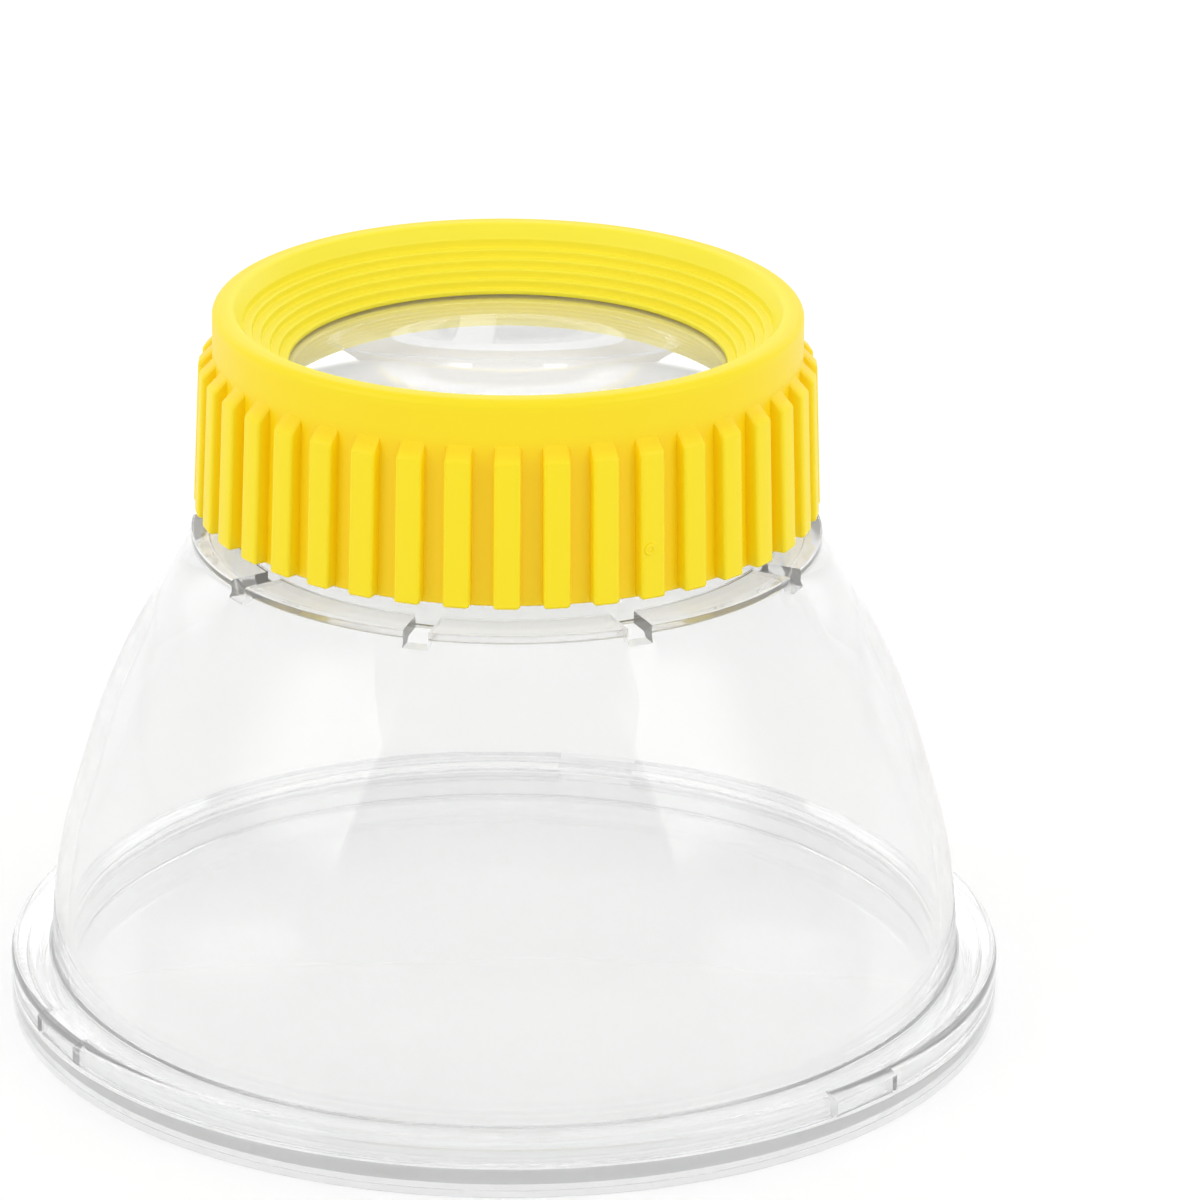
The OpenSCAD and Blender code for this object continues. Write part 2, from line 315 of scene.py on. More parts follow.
def new_material(name):
    """An empty node material and the maker of its nodes."""
    material = bpy.data.materials.new(name)
    material.use_nodes = True
    material.node_tree.nodes.clear()
    return material, Nodes(material.node_tree)


def finish_material(nodes, shader):
    nodes.add("ShaderNodeOutputMaterial", None, {"Surface": shader.outputs[0]})


def noise(nodes, scale, detail=2, stretch=(1, 1, 1)):
    """Noise on the piece's own coordinates, with scale ups and downs in a metre."""
    place = nodes.add("ShaderNodeTexCoord")
    mapping = nodes.add("ShaderNodeMapping", None, {"Vector": place.outputs["Object"], "Scale": stretch})
    made = nodes.add("ShaderNodeTexNoise", {"noise_dimensions": "3D"},
                     {"Vector": mapping.outputs[0], "Scale": scale, "Detail": detail})
    return nodes.value(made)


def mixed(nodes, factor, first, second):
    """A colour between two, by a factor."""
    mix = nodes.add("ShaderNodeMix", {"data_type": "RGBA"}, {0: factor, 6: first, 7: second})
    return mix.outputs[2]


def rise(nodes, value, low, high):
    """0 up to a low value, 1 from a high one, and smooth between them."""
    made = nodes.add("ShaderNodeMapRange", {"interpolation_type": "SMOOTHSTEP"},
                     {"Value": value, "From Min": low, "From Max": high})
    return nodes.value(made)


def axis_distance(nodes):
    """The distance from the jar's axis and the height, on the piece's own coordinates."""
    place = nodes.add("ShaderNodeTexCoord")
    parts = nodes.add("ShaderNodeSeparateXYZ", None, {0: place.outputs["Object"]})
    x, y, z = (nodes.value(parts, i) for i in range(3))
    return (x * x + y * y) ** 0.5, z


def yellow_plastic():
    """Bright yellow moulding: slight clouds in the colour, a gloss that varies and a faint orange peel, with
    painted shade deepening the colour between the ribs and a little on the collar, and painted light making
    the eye funnel paler.
    """
    material, nodes = new_material("yellow_plastic")
    clouds = noise(nodes, 55)
    peel = noise(nodes, 900, 3)
    bump = nodes.add("ShaderNodeBump", None,
                     {"Strength": 0.35, "Distance": PEEL_DEPTH, "Height": peel + 2 * clouds})
    distance, height = axis_distance(nodes)
    below_top = 1 - rise(nodes, height, CAP_TOP_Z - 2 * MM, CAP_TOP_Z)
    outside = rise(nodes, distance, COLLAR_R - MM, COLLAR_R) * below_top
    collar = rise(nodes, height, CAP_Z + RIB_H - MM, CAP_Z + RIB_H + MM)
    between = 1 - rise(nodes, distance, SKIRT_FOOT_R - 0.3 * MM, CAP_REACH - 0.6 * MM)
    # Painted shade: deepens the colour between the ribs, and a little on the collar
    rib_gap_shade = outside * between * (1 - COLLAR_SHADE_SHARE * collar)
    # Painted light: the inside of the eye funnel is made paler
    inside = 1 - rise(nodes, distance, COLLAR_R - LIP_W, COLLAR_R - LIP_W / 3)
    funnel = inside * rise(nodes, height, SEAT_Z - MM, SEAT_Z)
    plain = mixed(nodes, funnel, mixed(nodes, clouds, YELLOW, PALE_YELLOW), FUNNEL_LIT_YELLOW)
    shader = nodes.add("ShaderNodeBsdfPrincipled", None, {
        "Base Color": mixed(nodes, rib_gap_shade, plain, RIB_GAP_SHADE_YELLOW),
        "Roughness": 0.36 + 0.12 * clouds,
        "IOR": YELLOW_IOR,
        "Normal": bump.outputs[0]})
    finish_material(nodes, shader)
    return material


def clear_plastic(name, colour, shade, waves, clearness, ior, coat=0):
    """Clear moulding: nearly colourless glassy plastic with faint waves in it, which lets lamps through."""
    material, nodes = new_material(name)
    clouds = noise(nodes, 45)
    flow = noise(nodes, 70, 1, (1, 1, 0.35))
    bump = nodes.add("ShaderNodeBump", None, {"Strength": 1, "Distance": waves, "Height": flow})
    shader = nodes.add("ShaderNodeBsdfPrincipled", None, {
        "Base Color": mixed(nodes, clouds, shade, colour),
        "Roughness": 0.01 + 0.03 * clouds,
        "IOR": ior,
        "Transmission Weight": clearness,
        "Coat Weight": coat,
        "Coat IOR": COAT_IOR,
        "Normal": bump.outputs[0]})
    lamplight = nodes.add("ShaderNodeBsdfTransparent", None, {"Color": LAMPLIGHT})
    path = nodes.add("ShaderNodeLightPath")
    surface = nodes.add("ShaderNodeMixShader", None, {
        0: path.outputs["Is Shadow Ray"], 1: shader.outputs[0], 2: lamplight.outputs[0]})
    finish_material(nodes, surface)
    return material


def seen_directly(nodes):
    """1 for what the camera sees, also in gloss and through clear plastic, and 0 for light on the object."""
    path = nodes.add("ShaderNodeLightPath")
    camera, glossy, through = (
        nodes.value(path, name) for name in ("Is Camera Ray", "Is Glossy Ray", "Is Transmission Ray"))
    return camera.largest(glossy).largest(through)


def floor_paper():
    """White paper, which looks white where no shadow falls."""
    material, nodes = new_material("floor_paper")
    grain = noise(nodes, 30)
    paper = nodes.add("ShaderNodeBsdfDiffuse", None, {
        "Color": mixed(nodes, grain, PAPER, PAPER_GRAIN)})
    glow = nodes.add("ShaderNodeEmission", None, {
        "Color": WHITE, "Strength": PAPER_GLOW * seen_directly(nodes)})
    both = nodes.add("ShaderNodeAddShader", None, {0: paper.outputs[0], 1: glow.outputs[0]})
    finish_material(nodes, both)
    return material


def arc(centre_r, centre_z, radius, start, end, step=ARC_STEP):
    """Points of an arc round (centre_r, centre_z), from one angle to another, in degrees."""
    count = max(1, math.ceil(abs(end - start) / step))
    angles = [math.radians(start + (end - start) * i / count) for i in range(count + 1)]
    return [(centre_r + radius * math.cos(a), centre_z + radius * math.sin(a)) for a in angles]


def rounded(corners):
    """The outline through corners (r, z, rounding), with an arc at each corner that has a rounding."""
    points = []
    for i, (r, z, rounding) in enumerate(corners):
        corner = Vector((r, z))
        if not rounding:
            points.append((r, z))
            continue
        before = Vector(corners[i - 1][:2]) - corner
        after = Vector(corners[(i + 1) % len(corners)][:2]) - corner
        half = before.angle(after) / 2
        along = min(rounding / math.tan(half), ROUNDING_SHARE * before.length, ROUNDING_SHARE * after.length)
        radius = along * math.tan(half)
        before.normalize()
        after.normalize()
        centre = corner + (before + after).normalized() * (radius / math.sin(half))
        first, last = corner + before * along - centre, corner + after * along - centre
        turn = first.angle_signed(last)
        count = max(2, math.ceil(abs(math.degrees(turn)) / ARC_STEP))
        for k in range(count + 1):
            point = centre + Matrix.Rotation(-turn * k / count, 2) @ first
            points.append((point.x, point.y))
    return points


def new_object(name, bm, material, sharp=SHARP_ANGLE):
    """A smooth object of a mesh, whose tight folds stay sharp."""
    mesh = bpy.data.meshes.new(name)
    bm.to_mesh(mesh)
    bm.free()
    mesh.materials.append(material)
    piece = bpy.data.objects.new(name, mesh)
    bpy.context.scene.collection.objects.link(piece)
    smooth(mesh, sharp)
    return piece


def smooth(mesh, sharp=SHARP_ANGLE):
    """Turns faces outwards and shades them smooth up to a fold of this many degrees."""
    bm = bmesh.new()
    bm.from_mesh(mesh)
    bmesh.ops.recalc_face_normals(bm, faces=bm.faces)
    for face in bm.faces:
        face.smooth = True
    for edge in bm.edges:
        edge.smooth = edge.calc_face_angle(math.pi) < math.radians(sharp)
    bm.to_mesh(mesh)
    bm.free()


def turned(name, outline, material, steps=TURN_STEPS):
    """A closed outline of (r, z) points turned round the Z axis. Points on the axis become poles."""
    bm = bmesh.new()
    rings = []
    for r, z in outline:
        if r < TOUCH:
            rings.append([bm.verts.new((0, 0, z))])
        else:
            angles = [2 * math.pi * k / steps for k in range(steps)]
            rings.append([bm.verts.new((r * math.cos(a), r * math.sin(a), z)) for a in angles])
    for i, low in enumerate(rings):
        high = rings[(i + 1) % len(rings)]
        if len(low) == 1 and len(high) == 1:
            continue
        for k in range(steps):
            n = (k + 1) % steps
            face = [low[k % len(low)], low[n % len(low)], high[n % len(high)], high[k % len(high)]]
            bm.faces.new(list(dict.fromkeys(face)))
    return new_object(name, bm, material)


def block(from_r, to_r, width, low_z, high_z):
    """A mesh of a block that reaches outwards along +X."""
    bm = bmesh.new()
    bmesh.ops.create_cube(bm, size=1)
    bmesh.ops.scale(bm, vec=(to_r - from_r, width, high_z - low_z), verts=bm.verts)
    bmesh.ops.translate(bm, vec=((from_r + to_r) / 2, 0, (low_z + high_z) / 2), verts=bm.verts)
    return bm


def tree_with(name, inputs):
    """A geometry tree with a Geometry socket at each end and these inputs: names and their kinds."""
    tree = bpy.data.node_groups.new(name, "GeometryNodeTree")
    tree.interface.new_socket("Geometry", in_out="INPUT", socket_type="NodeSocketGeometry")
    tree.interface.new_socket("Geometry", in_out="OUTPUT", socket_type="NodeSocketGeometry")
    for label, kind in inputs:
        tree.interface.new_socket(label, in_out="INPUT", socket_type=kind)
    nodes = Nodes(tree)
    return tree, nodes, nodes.add("NodeGroupInput")


def close_tree(nodes, entry, geometry):
    """Ends a tree in Realize Instances and Set Material."""
    real = nodes.add("GeometryNodeRealizeInstances", None, {0: geometry})
    painted = nodes.add("GeometryNodeSetMaterial", None, {
        "Geometry": real.outputs[0], "Material": entry.outputs["Material"]})
    nodes.add("NodeGroupOutput", None, {0: painted.outputs[0]})


def ring_tree():
    """Copies of the geometry at even angles round the Z axis."""
    tree, nodes, entry = tree_with("ring_of_copies", (
        ("Count", "NodeSocketInt"), ("First Angle", "NodeSocketFloat"), ("Material", "NodeSocketMaterial")))
    count = Value(nodes, entry.outputs["Count"])
    points = nodes.add("GeometryNodePoints", None, {"Count": count})
    index = nodes.value(nodes.add("GeometryNodeInputIndex"))
    angle = index * (2 * math.pi) / count + Value(nodes, entry.outputs["First Angle"])
    turn = nodes.add("ShaderNodeCombineXYZ", None, {2: angle})
    copies = nodes.add("GeometryNodeInstanceOnPoints", None, {
        "Points": points.outputs[0], "Instance": entry.outputs["Geometry"], "Rotation": turn.outputs[0]})
    close_tree(nodes, entry, copies.outputs[0])
    return tree


def thread_tree():
    """A ridge that winds up round the Z axis, stands out or in from its root and runs out at both ends."""
    tree, nodes, entry = tree_with("thread_ridge", (
        ("Root Radius", "NodeSocketFloat"), ("Outwards", "NodeSocketFloat"), ("Pitch", "NodeSocketFloat"),
        ("Turns", "NodeSocketFloat"), ("Start Height", "NodeSocketFloat"), ("Root Width", "NodeSocketFloat"),
        ("Crest Width", "NodeSocketFloat"), ("Ridge Height", "NodeSocketFloat"),
        ("Run-out", "NodeSocketFloat"), ("Start Angle", "NodeSocketFloat"),
        ("Material", "NodeSocketMaterial")))

    def given(name):
        return Value(nodes, entry.outputs[name])

    path = nodes.add("GeometryNodeCurveSpiral", None, {
        "Resolution": SPIRAL_STEPS, "Rotations": given("Turns"), "Start Radius": given("Root Radius"),
        "End Radius": given("Root Radius"), "Height": given("Pitch") * given("Turns"), "Reverse": True})
    lift = nodes.add("ShaderNodeCombineXYZ", None, {2: given("Start Height")})
    turn = nodes.add("ShaderNodeCombineXYZ", None, {2: given("Start Angle")})
    lifted = nodes.add("GeometryNodeTransform", None, {
        "Geometry": path.outputs[0], "Translation": lift.outputs[0], "Rotation": turn.outputs[0]})
    upright = nodes.add("GeometryNodeSetCurveNormal", {"mode": "Z_UP"}, {"Curve": lifted.outputs[0]})
    along = nodes.value(nodes.add("GeometryNodeSplineParameter"), "Factor")
    swell = (along.smallest(1 - along) / given("Run-out") + END_SHARE).smallest(1)
    profile = nodes.add("GeometryNodeCurvePrimitiveQuadrilateral", {"mode": "TRAPEZOID"}, {
        "Bottom Width": given("Root Width"), "Top Width": given("Crest Width"), "Offset": 0,
        "Height": given("Ridge Height")})
    shift = nodes.add("ShaderNodeCombineXYZ", None, {0: given("Outwards") * given("Ridge Height") / 2})
    side = nodes.add("ShaderNodeCombineXYZ", None, {0: 1, 1: given("Outwards"), 2: 1})
    placed = nodes.add("GeometryNodeTransform", None, {
        "Geometry": profile.outputs[0], "Translation": shift.outputs[0],
        "Rotation": (0, 0, -math.pi / 2), "Scale": side.outputs[0]})
    swept = nodes.add("GeometryNodeCurveToMesh", None, {
        "Curve": upright.outputs[0], "Profile Curve": placed.outputs[0], "Scale": swell, "Fill Caps": True})
    close_tree(nodes, entry, swept.outputs[0])
    return tree


def grown(piece, tree, inputs):
    """Runs a geometry tree on a piece with these inputs and keeps the result as a plain mesh."""
    modifier = piece.modifiers.new("grow", "NODES")
    modifier.node_group = tree
    for item in tree.interface.items_tree:
        if item.in_out == "INPUT" and item.name in inputs:
            modifier[item.identifier] = inputs[item.name]
    return applied(piece)


def applied(piece):
    """Turns a piece and its modifiers into a plain mesh."""
    depsgraph = bpy.context.evaluated_depsgraph_get()
    depsgraph.update()
    mesh = bpy.data.meshes.new_from_object(piece.evaluated_get(depsgraph), depsgraph=depsgraph)
    piece.modifiers.clear()
    mesh.name = piece.name
    piece.data = mesh
    return piece


def combined(piece, operation, tools):
    """Cuts the tools out of a piece, or joins them to it, and removes them."""
    for tool in tools:
        modifier = piece.modifiers.new(operation.lower(), "BOOLEAN")
        modifier.operation = operation
        modifier.solver = "EXACT"
        modifier.object = tool
    applied(piece)
    for tool in tools:
        bpy.data.objects.remove(tool)
    smooth(piece.data)
    return piece


def wall_points(depth):
    """Points of the wall's face, this far below the outer one, from the flange up to the shelf."""
    height = SHELF_UNDER_Z - FLANGE_Z
    lower_h, middle_h, shoulder_h = (share * height for share in WALL_SHARES)
    top_h = height - lower_h - middle_h - shoulder_h
    low, high = 0, 90 - SHOULDER_TURN
    for _ in range(LEAN_TRIES):
        lean = (low + high) / 2
        tangents = [math.tan(math.radians(a)) for a in (
            lean / 2, lean, lean + SHOULDER_TURN / 2, lean + SHOULDER_TURN)]
        inwards = sum(h * t for h, t in zip((lower_h, middle_h, shoulder_h, top_h), tangents))
        if inwards < FOOT_R - SHELF_R:
            low = lean
        else:
            high = lean
    top_lean = lean + SHOULDER_TURN
    sine, cosine, tangent = (f(math.radians(lean)) for f in (math.sin, math.cos, math.tan))
    lower_r = lower_h / sine
    shoulder_r = shoulder_h / (math.sin(math.radians(top_lean)) - sine)
    lower = arc(FOOT_R - lower_r, FLANGE_Z, lower_r - depth, 0, lean, WALL_STEP)
    start_r = FOOT_R - lower_r * (1 - cosine) - middle_h * tangent
    centre_z = FLANGE_Z + lower_h + middle_h - shoulder_r * sine
    shoulder = arc(start_r - shoulder_r * cosine, centre_z, shoulder_r - depth, lean, top_lean, WALL_STEP)
    last_r, last_z = shoulder[-1]
    end = (last_r - (SHELF_UNDER_Z - last_z) * math.tan(math.radians(top_lean)), SHELF_UNDER_Z)
    return lower + shoulder + [end]


def tray_outline():
    return rounded([
        (0, FOOT_RISE, 0), (LOCATING_IN_R, FOOT_RISE, SOFT), (LOCATING_IN_R + FOOT_RISE, 0, SOFT),
        (BASE_R, 0, EDGE_BEVEL), (BASE_R, RIM_H, EDGE_BEVEL), (LOCATING_OUT_R, RIM_H, SOFT),
        (LOCATING_OUT_R, LOCATING_Z, SOFT), (LOCATING_IN_R, LOCATING_Z, SOFT),
        (LOCATING_IN_R, FLOOR_Z, 2 * SOFT), (0, FLOOR_Z, 0)])


def body_outline():
    outer = [(r, z, 0) for r, z in wall_points(0) if FLANGE_Z + 2 * SOFT < z < SHELF_UNDER_Z]
    inner = [(r, z, 0) for r, z in reversed(wall_points(WALL_T)[:-1])]
    inner_top_r = wall_points(WALL_T)[-1][0]
    return rounded([
        (SKIRT_IN_R, SKIRT_Z, CRISP), (BASE_R, SKIRT_Z, EDGE_BEVEL), (BASE_R, FLANGE_Z, SKIRT_T / 2),
        (FOOT_R, FLANGE_Z, 2 * SOFT), *outer, (SHELF_R, SHELF_UNDER_Z, 0), (SHELF_R, SHELF_Z, SOFT),
        (NECK_R, SHELF_Z, SOFT), (NECK_R, NECK_Z, SOFT), (NECK_IN_R, NECK_Z, SOFT),
        (NECK_IN_R, SHELF_UNDER_Z, SOFT), (inner_top_r, SHELF_UNDER_Z, 2 * SOFT), *inner,
        (FOOT_R - WALL_T, WALL_END_Z, CRISP), (FOOT_R, WALL_END_Z, CRISP),
        (FOOT_R, PLATE_UNDER_Z, SOFT), (SKIRT_IN_R, PLATE_UNDER_Z, SOFT)])


def face_points(edge_z, top_z):
    """Points of a round lens face from the middle out to the lens's flat edge."""
    width = LENS_R - LENS_LAND
    rise = abs(top_z - edge_z)
    radius = (width ** 2 + rise ** 2) / (2 * rise)
    spread = math.degrees(math.asin(width / radius))
    side = 1 if top_z > edge_z else -1
    points = arc(0, top_z - side * radius, radius, side * 90, side * (90 - spread), LENS_STEP)
    return [(0, top_z), *points[1:]]


def lens_outline():
    under = face_points(LENS_UNDER_Z, LENS_LOW_Z)
    over = face_points(LENS_TOP_Z, LENS_HIGH_Z)
    edge = rounded([
        (under[-1][0], LENS_UNDER_Z, 0), (LENS_R, LENS_UNDER_Z, CRISP),
        (LENS_R, LENS_TOP_Z, CRISP), (over[-1][0], LENS_TOP_Z, 0)])
    return under[:-1] + edge + over[-2::-1]


def funnel_under_z(r):
    """Height of the sloped underside of the funnel at a radius."""
    drop = FUNNEL_T * math.hypot(1, STEPS_H / STEPS_W) + STEPS_H / STEP_COUNT
    return STEPS_Z - drop - (LAND_IN_R - r) * STEPS_H / STEPS_W


def cap_outline():
    step_w, step_h = STEPS_W / STEP_COUNT, STEPS_H / STEP_COUNT
    steps = []
    for i in range(STEP_COUNT):
        inner = i * step_w
        steps.append((LAND_IN_R - inner, STEPS_Z - (i + 1) * step_h, CRISP))
        steps.append((LAND_IN_R - inner - step_w, STEPS_Z - (i + 1) * step_h, 1.6 * CRISP))
    lip = arc(COLLAR_R - LIP_W + LIP_IN_ROUND, CAP_TOP_Z - LIP_IN_ROUND, LIP_IN_ROUND, 90, LIP_END)
    return rounded([
        (CAP_IN_R, CAP_Z, SOFT), (SKIRT_FOOT_R, CAP_Z, SOFT), (COLLAR_R, CAP_Z + RIB_H, 3 * SOFT),
        (COLLAR_R, CAP_TOP_Z, LIP_OUT_ROUND), *((r, z, 0) for r, z in lip),
        (LAND_IN_R, STEPS_Z, 1.6 * CRISP), *steps,
        (EYE_R, SEAT_Z, CRISP), (POCKET_R, SEAT_Z, 0), (POCKET_R, HOLDER_Z, CRISP),
        (HOLDER_R, HOLDER_Z, CRISP), (HOLDER_R, funnel_under_z(HOLDER_R), SOFT),
        (UPPER_IN_R, funnel_under_z(UPPER_IN_R), SOFT),
        (UPPER_IN_R, NECK_ROOM_Z + CAP_IN_R - UPPER_IN_R, 0), (CAP_IN_R, NECK_ROOM_Z, 0)])


def rib_shape(material):
    """One grip rib along +X: a tapered bar with rounded edges and a sloped upper end, sunk into the wall."""
    foot = CAP_REACH - COLLAR_R
    outline = rounded([
        (COLLAR_R - SOFT, CAP_Z + CRISP, 0), (CAP_REACH, CAP_Z + CRISP, 1.5 * SOFT),
        (CAP_REACH - foot + RIB_HEAD_DEPTH, CAP_Z + RIB_H - RIB_HEAD_DEPTH, 2 * SOFT),
        (COLLAR_R - SOFT, CAP_Z + RIB_H + SOFT, 0)])
    bm = bmesh.new()
    left = [bm.verts.new((r, -RIB_W / 2, z)) for r, z in outline]
    right = [bm.verts.new((r, RIB_W / 2, z)) for r, z in outline]
    bm.faces.new(left)
    bm.faces.new(right[::-1])
    for i in range(len(outline)):
        n = (i + 1) % len(outline)
        bm.faces.new((left[i], right[i], right[n], left[n]))
    bmesh.ops.recalc_face_normals(bm, faces=bm.faces)
    rims = [e for e in bm.edges if abs(e.verts[0].co.y - e.verts[1].co.y) < TOUCH]
    bmesh.ops.bevel(bm, geom=rims, offset=RIB_EDGE, segments=4, profile=0.5, affect="EDGES")
    return new_object("grip_ribs", bm, material)


def thread(name, root_r, outwards, start_z, material, tree):
    """A thread ridge whose root is sunk into the wall at a radius."""
    piece = bpy.data.objects.new(name, bpy.data.meshes.new(name))
    bpy.context.scene.collection.objects.link(piece)
    grown(piece, tree, {
        "Root Radius": root_r - outwards * ROOT_SINK, "Outwards": outwards, "Pitch": PITCH,
        "Turns": THREAD_TURNS, "Start Height": start_z, "Root Width": RIDGE_ROOT_W,
        "Crest Width": RIDGE_CREST_W, "Ridge Height": THREAD_H + ROOT_SINK, "Run-out": RUN_OUT,
        "Start Angle": math.radians(THREAD_START), "Material": material})
    smooth(piece.data)
    return piece


def ring_of(piece, tree, count, first_angle, material):
    """Copies of a piece at even angles, the first at an angle to the right of the front."""
    return grown(piece, tree, {
        "Count": count, "First Angle": math.radians(first_angle - 90), "Material": material})


def lug_blocks(name, tree, material, from_r, to_r, width, low_z, high_z):
    """Three blocks at the places of the tray's lugs."""
    return [ring_of(new_object(f"{name}_{i}", block(from_r, to_r, width, low_z, high_z), material),
                    tree, 1, angle, material) for i, angle in enumerate(LUG_ANGLES)]


def make_tray(clear, ring):
    piece = turned("tray_moulding", tray_outline(), clear)
    lugs = lug_blocks("lug", ring, clear, LUG_OUT_R - LUG_DEPTH, LUG_OUT_R, LUG_W, RIM_H / 2, LUG_Z)
    return combined(piece, "UNION", lugs)


def make_body(clear, ring, ridge):
    piece = turned("body_moulding", body_outline(), clear)
    slot = new_object("slot", block(NECK_R, SHELF_R + SOFT, VENT_W, SHELF_Z - VENT_H, SHELF_Z + SOFT), clear)
    slots = ring_of(slot, ring, VENT_COUNT, VENT_START, clear)
    notches = lug_blocks("notch", ring, clear, SKIRT_IN_R - TRAY_CLEAR, BASE_R + SOFT,
                         LUG_W + 2 * TRAY_CLEAR, SKIRT_Z - SOFT, PLATE_UNDER_Z)
    combined(piece, "DIFFERENCE", [slots, *notches])
    return combined(piece, "UNION", [thread("neck_thread", NECK_R, 1, NECK_THREAD_Z, clear, ridge)])


def make_cap(yellow, ring, ridge):
    shell = turned("cap_shell", cap_outline(), yellow)
    ribs = ring_of(rib_shape(yellow), ring, RIB_COUNT, 0, yellow)
    smooth(ribs.data)
    return [shell, ribs, thread("cap_thread", CAP_IN_R, -1, CAP_THREAD_Z, yellow, ridge), gate_mark(yellow)]


def gate_mark(material):
    """The small round mark on one rib where the plastic was let into the mould."""
    face_r = CAP_REACH - (CAP_REACH - COLLAR_R - RIB_HEAD_DEPTH) * (GATE_Z - CAP_Z) / (RIB_H - RIB_HEAD_DEPTH)
    piece = turned("gate_mark", rounded([
        (0, -GATE_RISE, 0), (GATE_R, -GATE_RISE, 0), (GATE_R, GATE_RISE, GATE_RISE / 2),
        (GATE_R / 2, GATE_RISE, GATE_RISE / 2), (GATE_R / 2, GATE_RISE / 3, GATE_RISE / 4),
        (0, GATE_RISE / 3, 0)]), material, MARK_STEPS)
    angle = math.radians(GATE_ANGLE - 90)
    outwards = Vector((math.cos(angle), math.sin(angle), 0))
    turn = outwards.to_track_quat("Z", "Y").to_matrix().to_4x4()
    piece.data.transform(Matrix.Translation(outwards * face_r + Vector((0, 0, GATE_Z))) @ turn)
    return piece


def camera():
    """A long lens, looking down at the jar from the front."""
    pitch, yaw, roll = (math.radians(a) for a in (CAMERA_PITCH, CAMERA_YAW, CAMERA_ROLL))
    data = bpy.data.cameras.new("camera")
    data.sensor_width = SENSOR
    data.lens = SENSOR * FOCAL_PIXELS / PHOTO_SIDE
    forward = Vector((math.sin(yaw) * math.cos(pitch), math.cos(yaw) * math.cos(pitch), -math.sin(pitch)))
    level = Vector((math.cos(yaw), -math.sin(yaw), 0))
    upright = level.cross(forward)
    right = level * math.cos(roll) + upright * math.sin(roll)
    up = upright * math.cos(roll) - level * math.sin(roll)
    made = bpy.data.objects.new("camera", data)
    turn = Matrix((right, up, -forward)).transposed()
    made.matrix_world = Matrix.Translation(CAMERA_PLACE) @ turn.to_4x4()
    bpy.context.scene.collection.objects.link(made)
    bpy.context.scene.camera = made


def soft_cloth(radiance, bright_side):
    """The lit cloth of a softbox, which fades towards its edges, but not on its bright side: 1, -1 or 0."""
    material, nodes = new_material("soft_cloth")
    place = nodes.add("ShaderNodeTexCoord")
    parts = nodes.add("ShaderNodeSeparateXYZ", None, {0: place.outputs["UV"]})
    across, up = nodes.value(parts, 0), nodes.value(parts, 1)
    fade = rise(nodes, up, 0, FADE_UP) * rise(nodes, 1 - up, 0, FADE_UP)
    if bright_side >= 0:
        fade = fade * rise(nodes, across, 0, FADE_ACROSS + FADE_ACROSS * bright_side)
    if bright_side <= 0:
        fade = fade * rise(nodes, 1 - across, 0, FADE_ACROSS - FADE_ACROSS * bright_side)
    light = nodes.add("ShaderNodeEmission", None, {"Color": WHITE, "Strength": radiance})
    gone = nodes.add("ShaderNodeBsdfTransparent")
    cloth = nodes.add("ShaderNodeMixShader", None, {0: fade, 1: gone.outputs[0], 2: light.outputs[0]})
    finish_material(nodes, cloth)
    return material


def softbox(name, azimuth, elevation, width, height, radiance, bright_side):
    """A softbox one metre from the jar, at an angle from the front and above the floor."""
    a, e = math.radians(azimuth), math.radians(elevation)
    bm = bmesh.new()
    bm.loops.layers.uv.verify()
    bmesh.ops.create_grid(bm, x_segments=1, y_segments=1, size=0.5, calc_uvs=True)
    bmesh.ops.scale(bm, vec=(width, height, 1), verts=bm.verts)
    cloth = new_object(name, bm, soft_cloth(radiance, bright_side))
    back = Vector((math.sin(a) * math.cos(e), -math.cos(a) * math.cos(e), math.sin(e)))
    turn = back.to_track_quat("Z", "Y").to_matrix()
    cloth.matrix_world = Matrix.Translation(back + Vector((0, 0, SHELF_Z))) @ turn.to_4x4()
    cloth.visible_camera = False


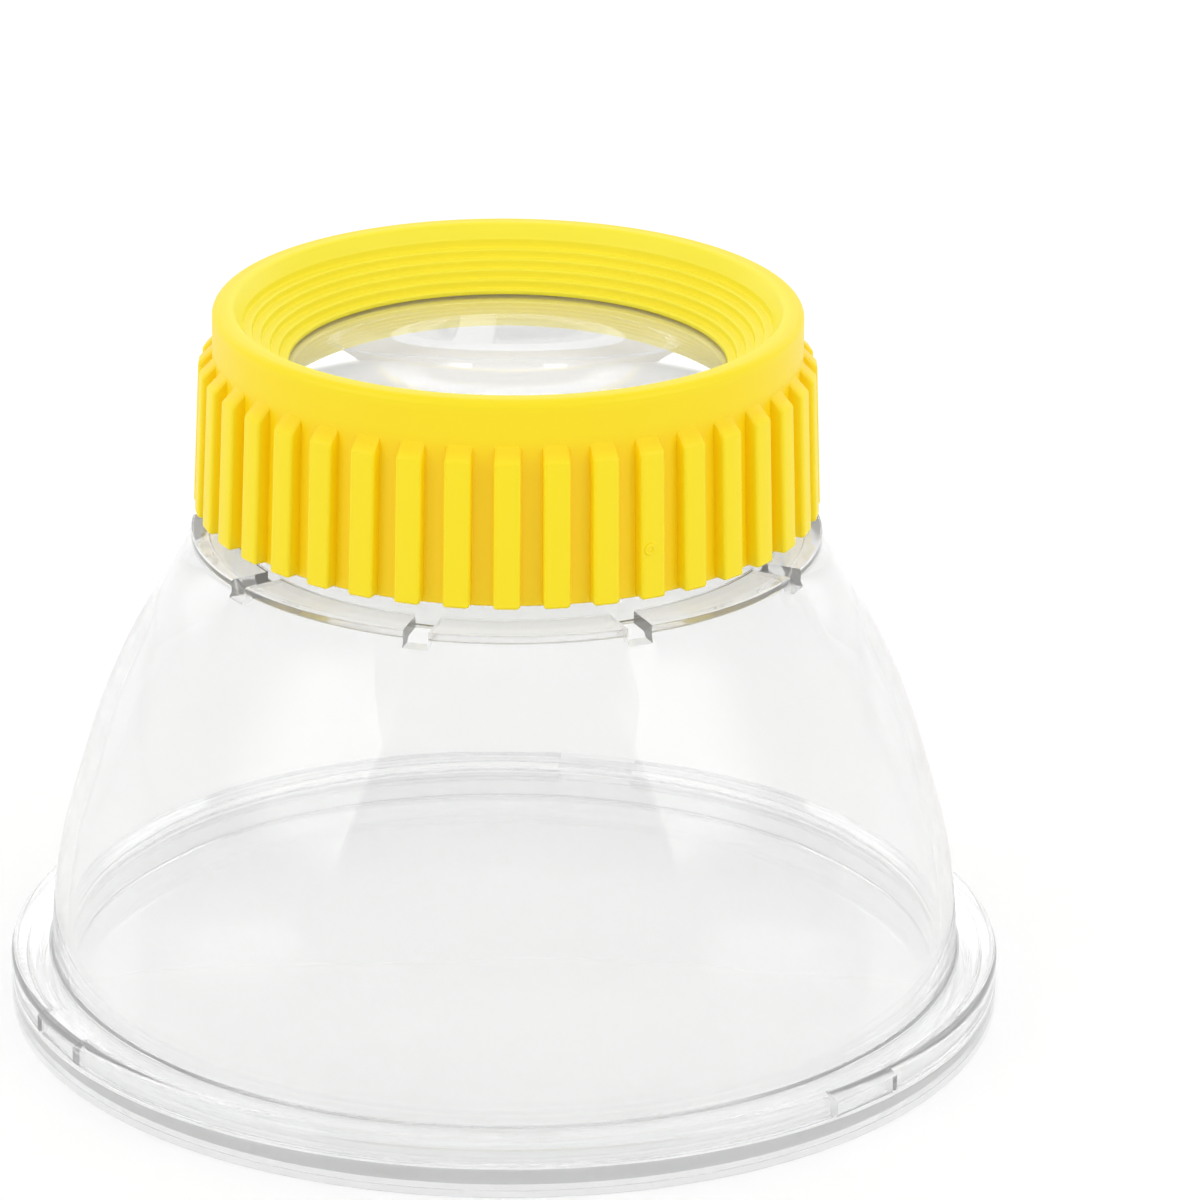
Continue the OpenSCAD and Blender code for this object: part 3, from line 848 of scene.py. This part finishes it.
def studio():
    """White paper under the jar, soft lamps round it and a grey room that looks white near the floor."""
    bm = bmesh.new()
    bmesh.ops.create_grid(bm, x_segments=8, y_segments=8, size=PAPER_REACH)
    paper = new_object("paper", bm, floor_paper())
    for lamp in LAMPS:
        softbox(*lamp)
    world = bpy.data.worlds.new("studio")
    world.use_nodes = True
    world.node_tree.nodes.clear()
    nodes = Nodes(world.node_tree)
    way = nodes.add("ShaderNodeTexCoord")
    parts = nodes.add("ShaderNodeSeparateXYZ", None, {0: way.outputs["Generated"]})
    ramp = nodes.add("ShaderNodeValToRGB", {"stops": ((WHITE_UP_TO, WHITE), (GREY_FROM, ROOM_TOP))},
                     {0: nodes.value(parts, 2)})
    room = nodes.add("ShaderNodeBackground", None, {"Color": ROOM_LIGHT})
    seen = nodes.add("ShaderNodeBackground", None, {"Color": ramp.outputs[0]})
    both = nodes.add("ShaderNodeMixShader", None, {
        0: seen_directly(nodes), 1: room.outputs[0], 2: seen.outputs[0]})
    nodes.add("ShaderNodeOutputWorld", None, {"Surface": both.outputs[0]})
    bpy.context.scene.world = world


def keep(piece, body, slot, *nodes):
    """Rides a piece on its body and puts it in the place of CAD nodes; the name of its finish is not used."""
    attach(piece, body)
    if nodes:
        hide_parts(*nodes)


def main():
    yellow = yellow_plastic()
    clear = clear_plastic("clear_plastic", CLEAR, CLEAR_SHADE, MOULDED_WAVES, BODY_CLEARNESS, BODY_IOR)
    tray_clear = clear_plastic(
        "tray_plastic", TRAY_TINT, TRAY_SHADE, MOULDED_WAVES, TRAY_CLEARNESS, TRAY_IOR)
    lens_clear = clear_plastic(
        "lens_plastic", LENS_TINT, LENS_SHADE, POLISHED_WAVES, LENS_CLEARNESS, LENS_IOR, 1)
    ring, ridge = ring_tree(), thread_tree()
    keep(make_tray(tray_clear, ring), "tray", "clear_plastic", "base_tray")
    keep(make_body(clear, ring, ridge), "jar", "clear_plastic", "jar_body")
    keep(turned("magnifier", lens_outline(), lens_clear), "optics", "lens_plastic", "lens")
    shell, *details = make_cap(yellow, ring, ridge)
    keep(shell, "cap", "yellow_plastic", "focus_cap")
    for piece in details:
        keep(piece, "cap", "yellow_plastic")
    holder = turned("retaining_ring", rounded([
        (RING_R - RING_W, RING_Z, CRISP), (RING_R, RING_Z, CRISP),
        (RING_R, RING_TOP_Z, CRISP), (RING_R - RING_W, RING_TOP_Z, CRISP)]), yellow)
    keep(holder, "cap", "yellow_plastic", "lens_retainer")
    studio()
    camera()
    bpy.context.scene.view_settings.view_transform = "Standard"


main()
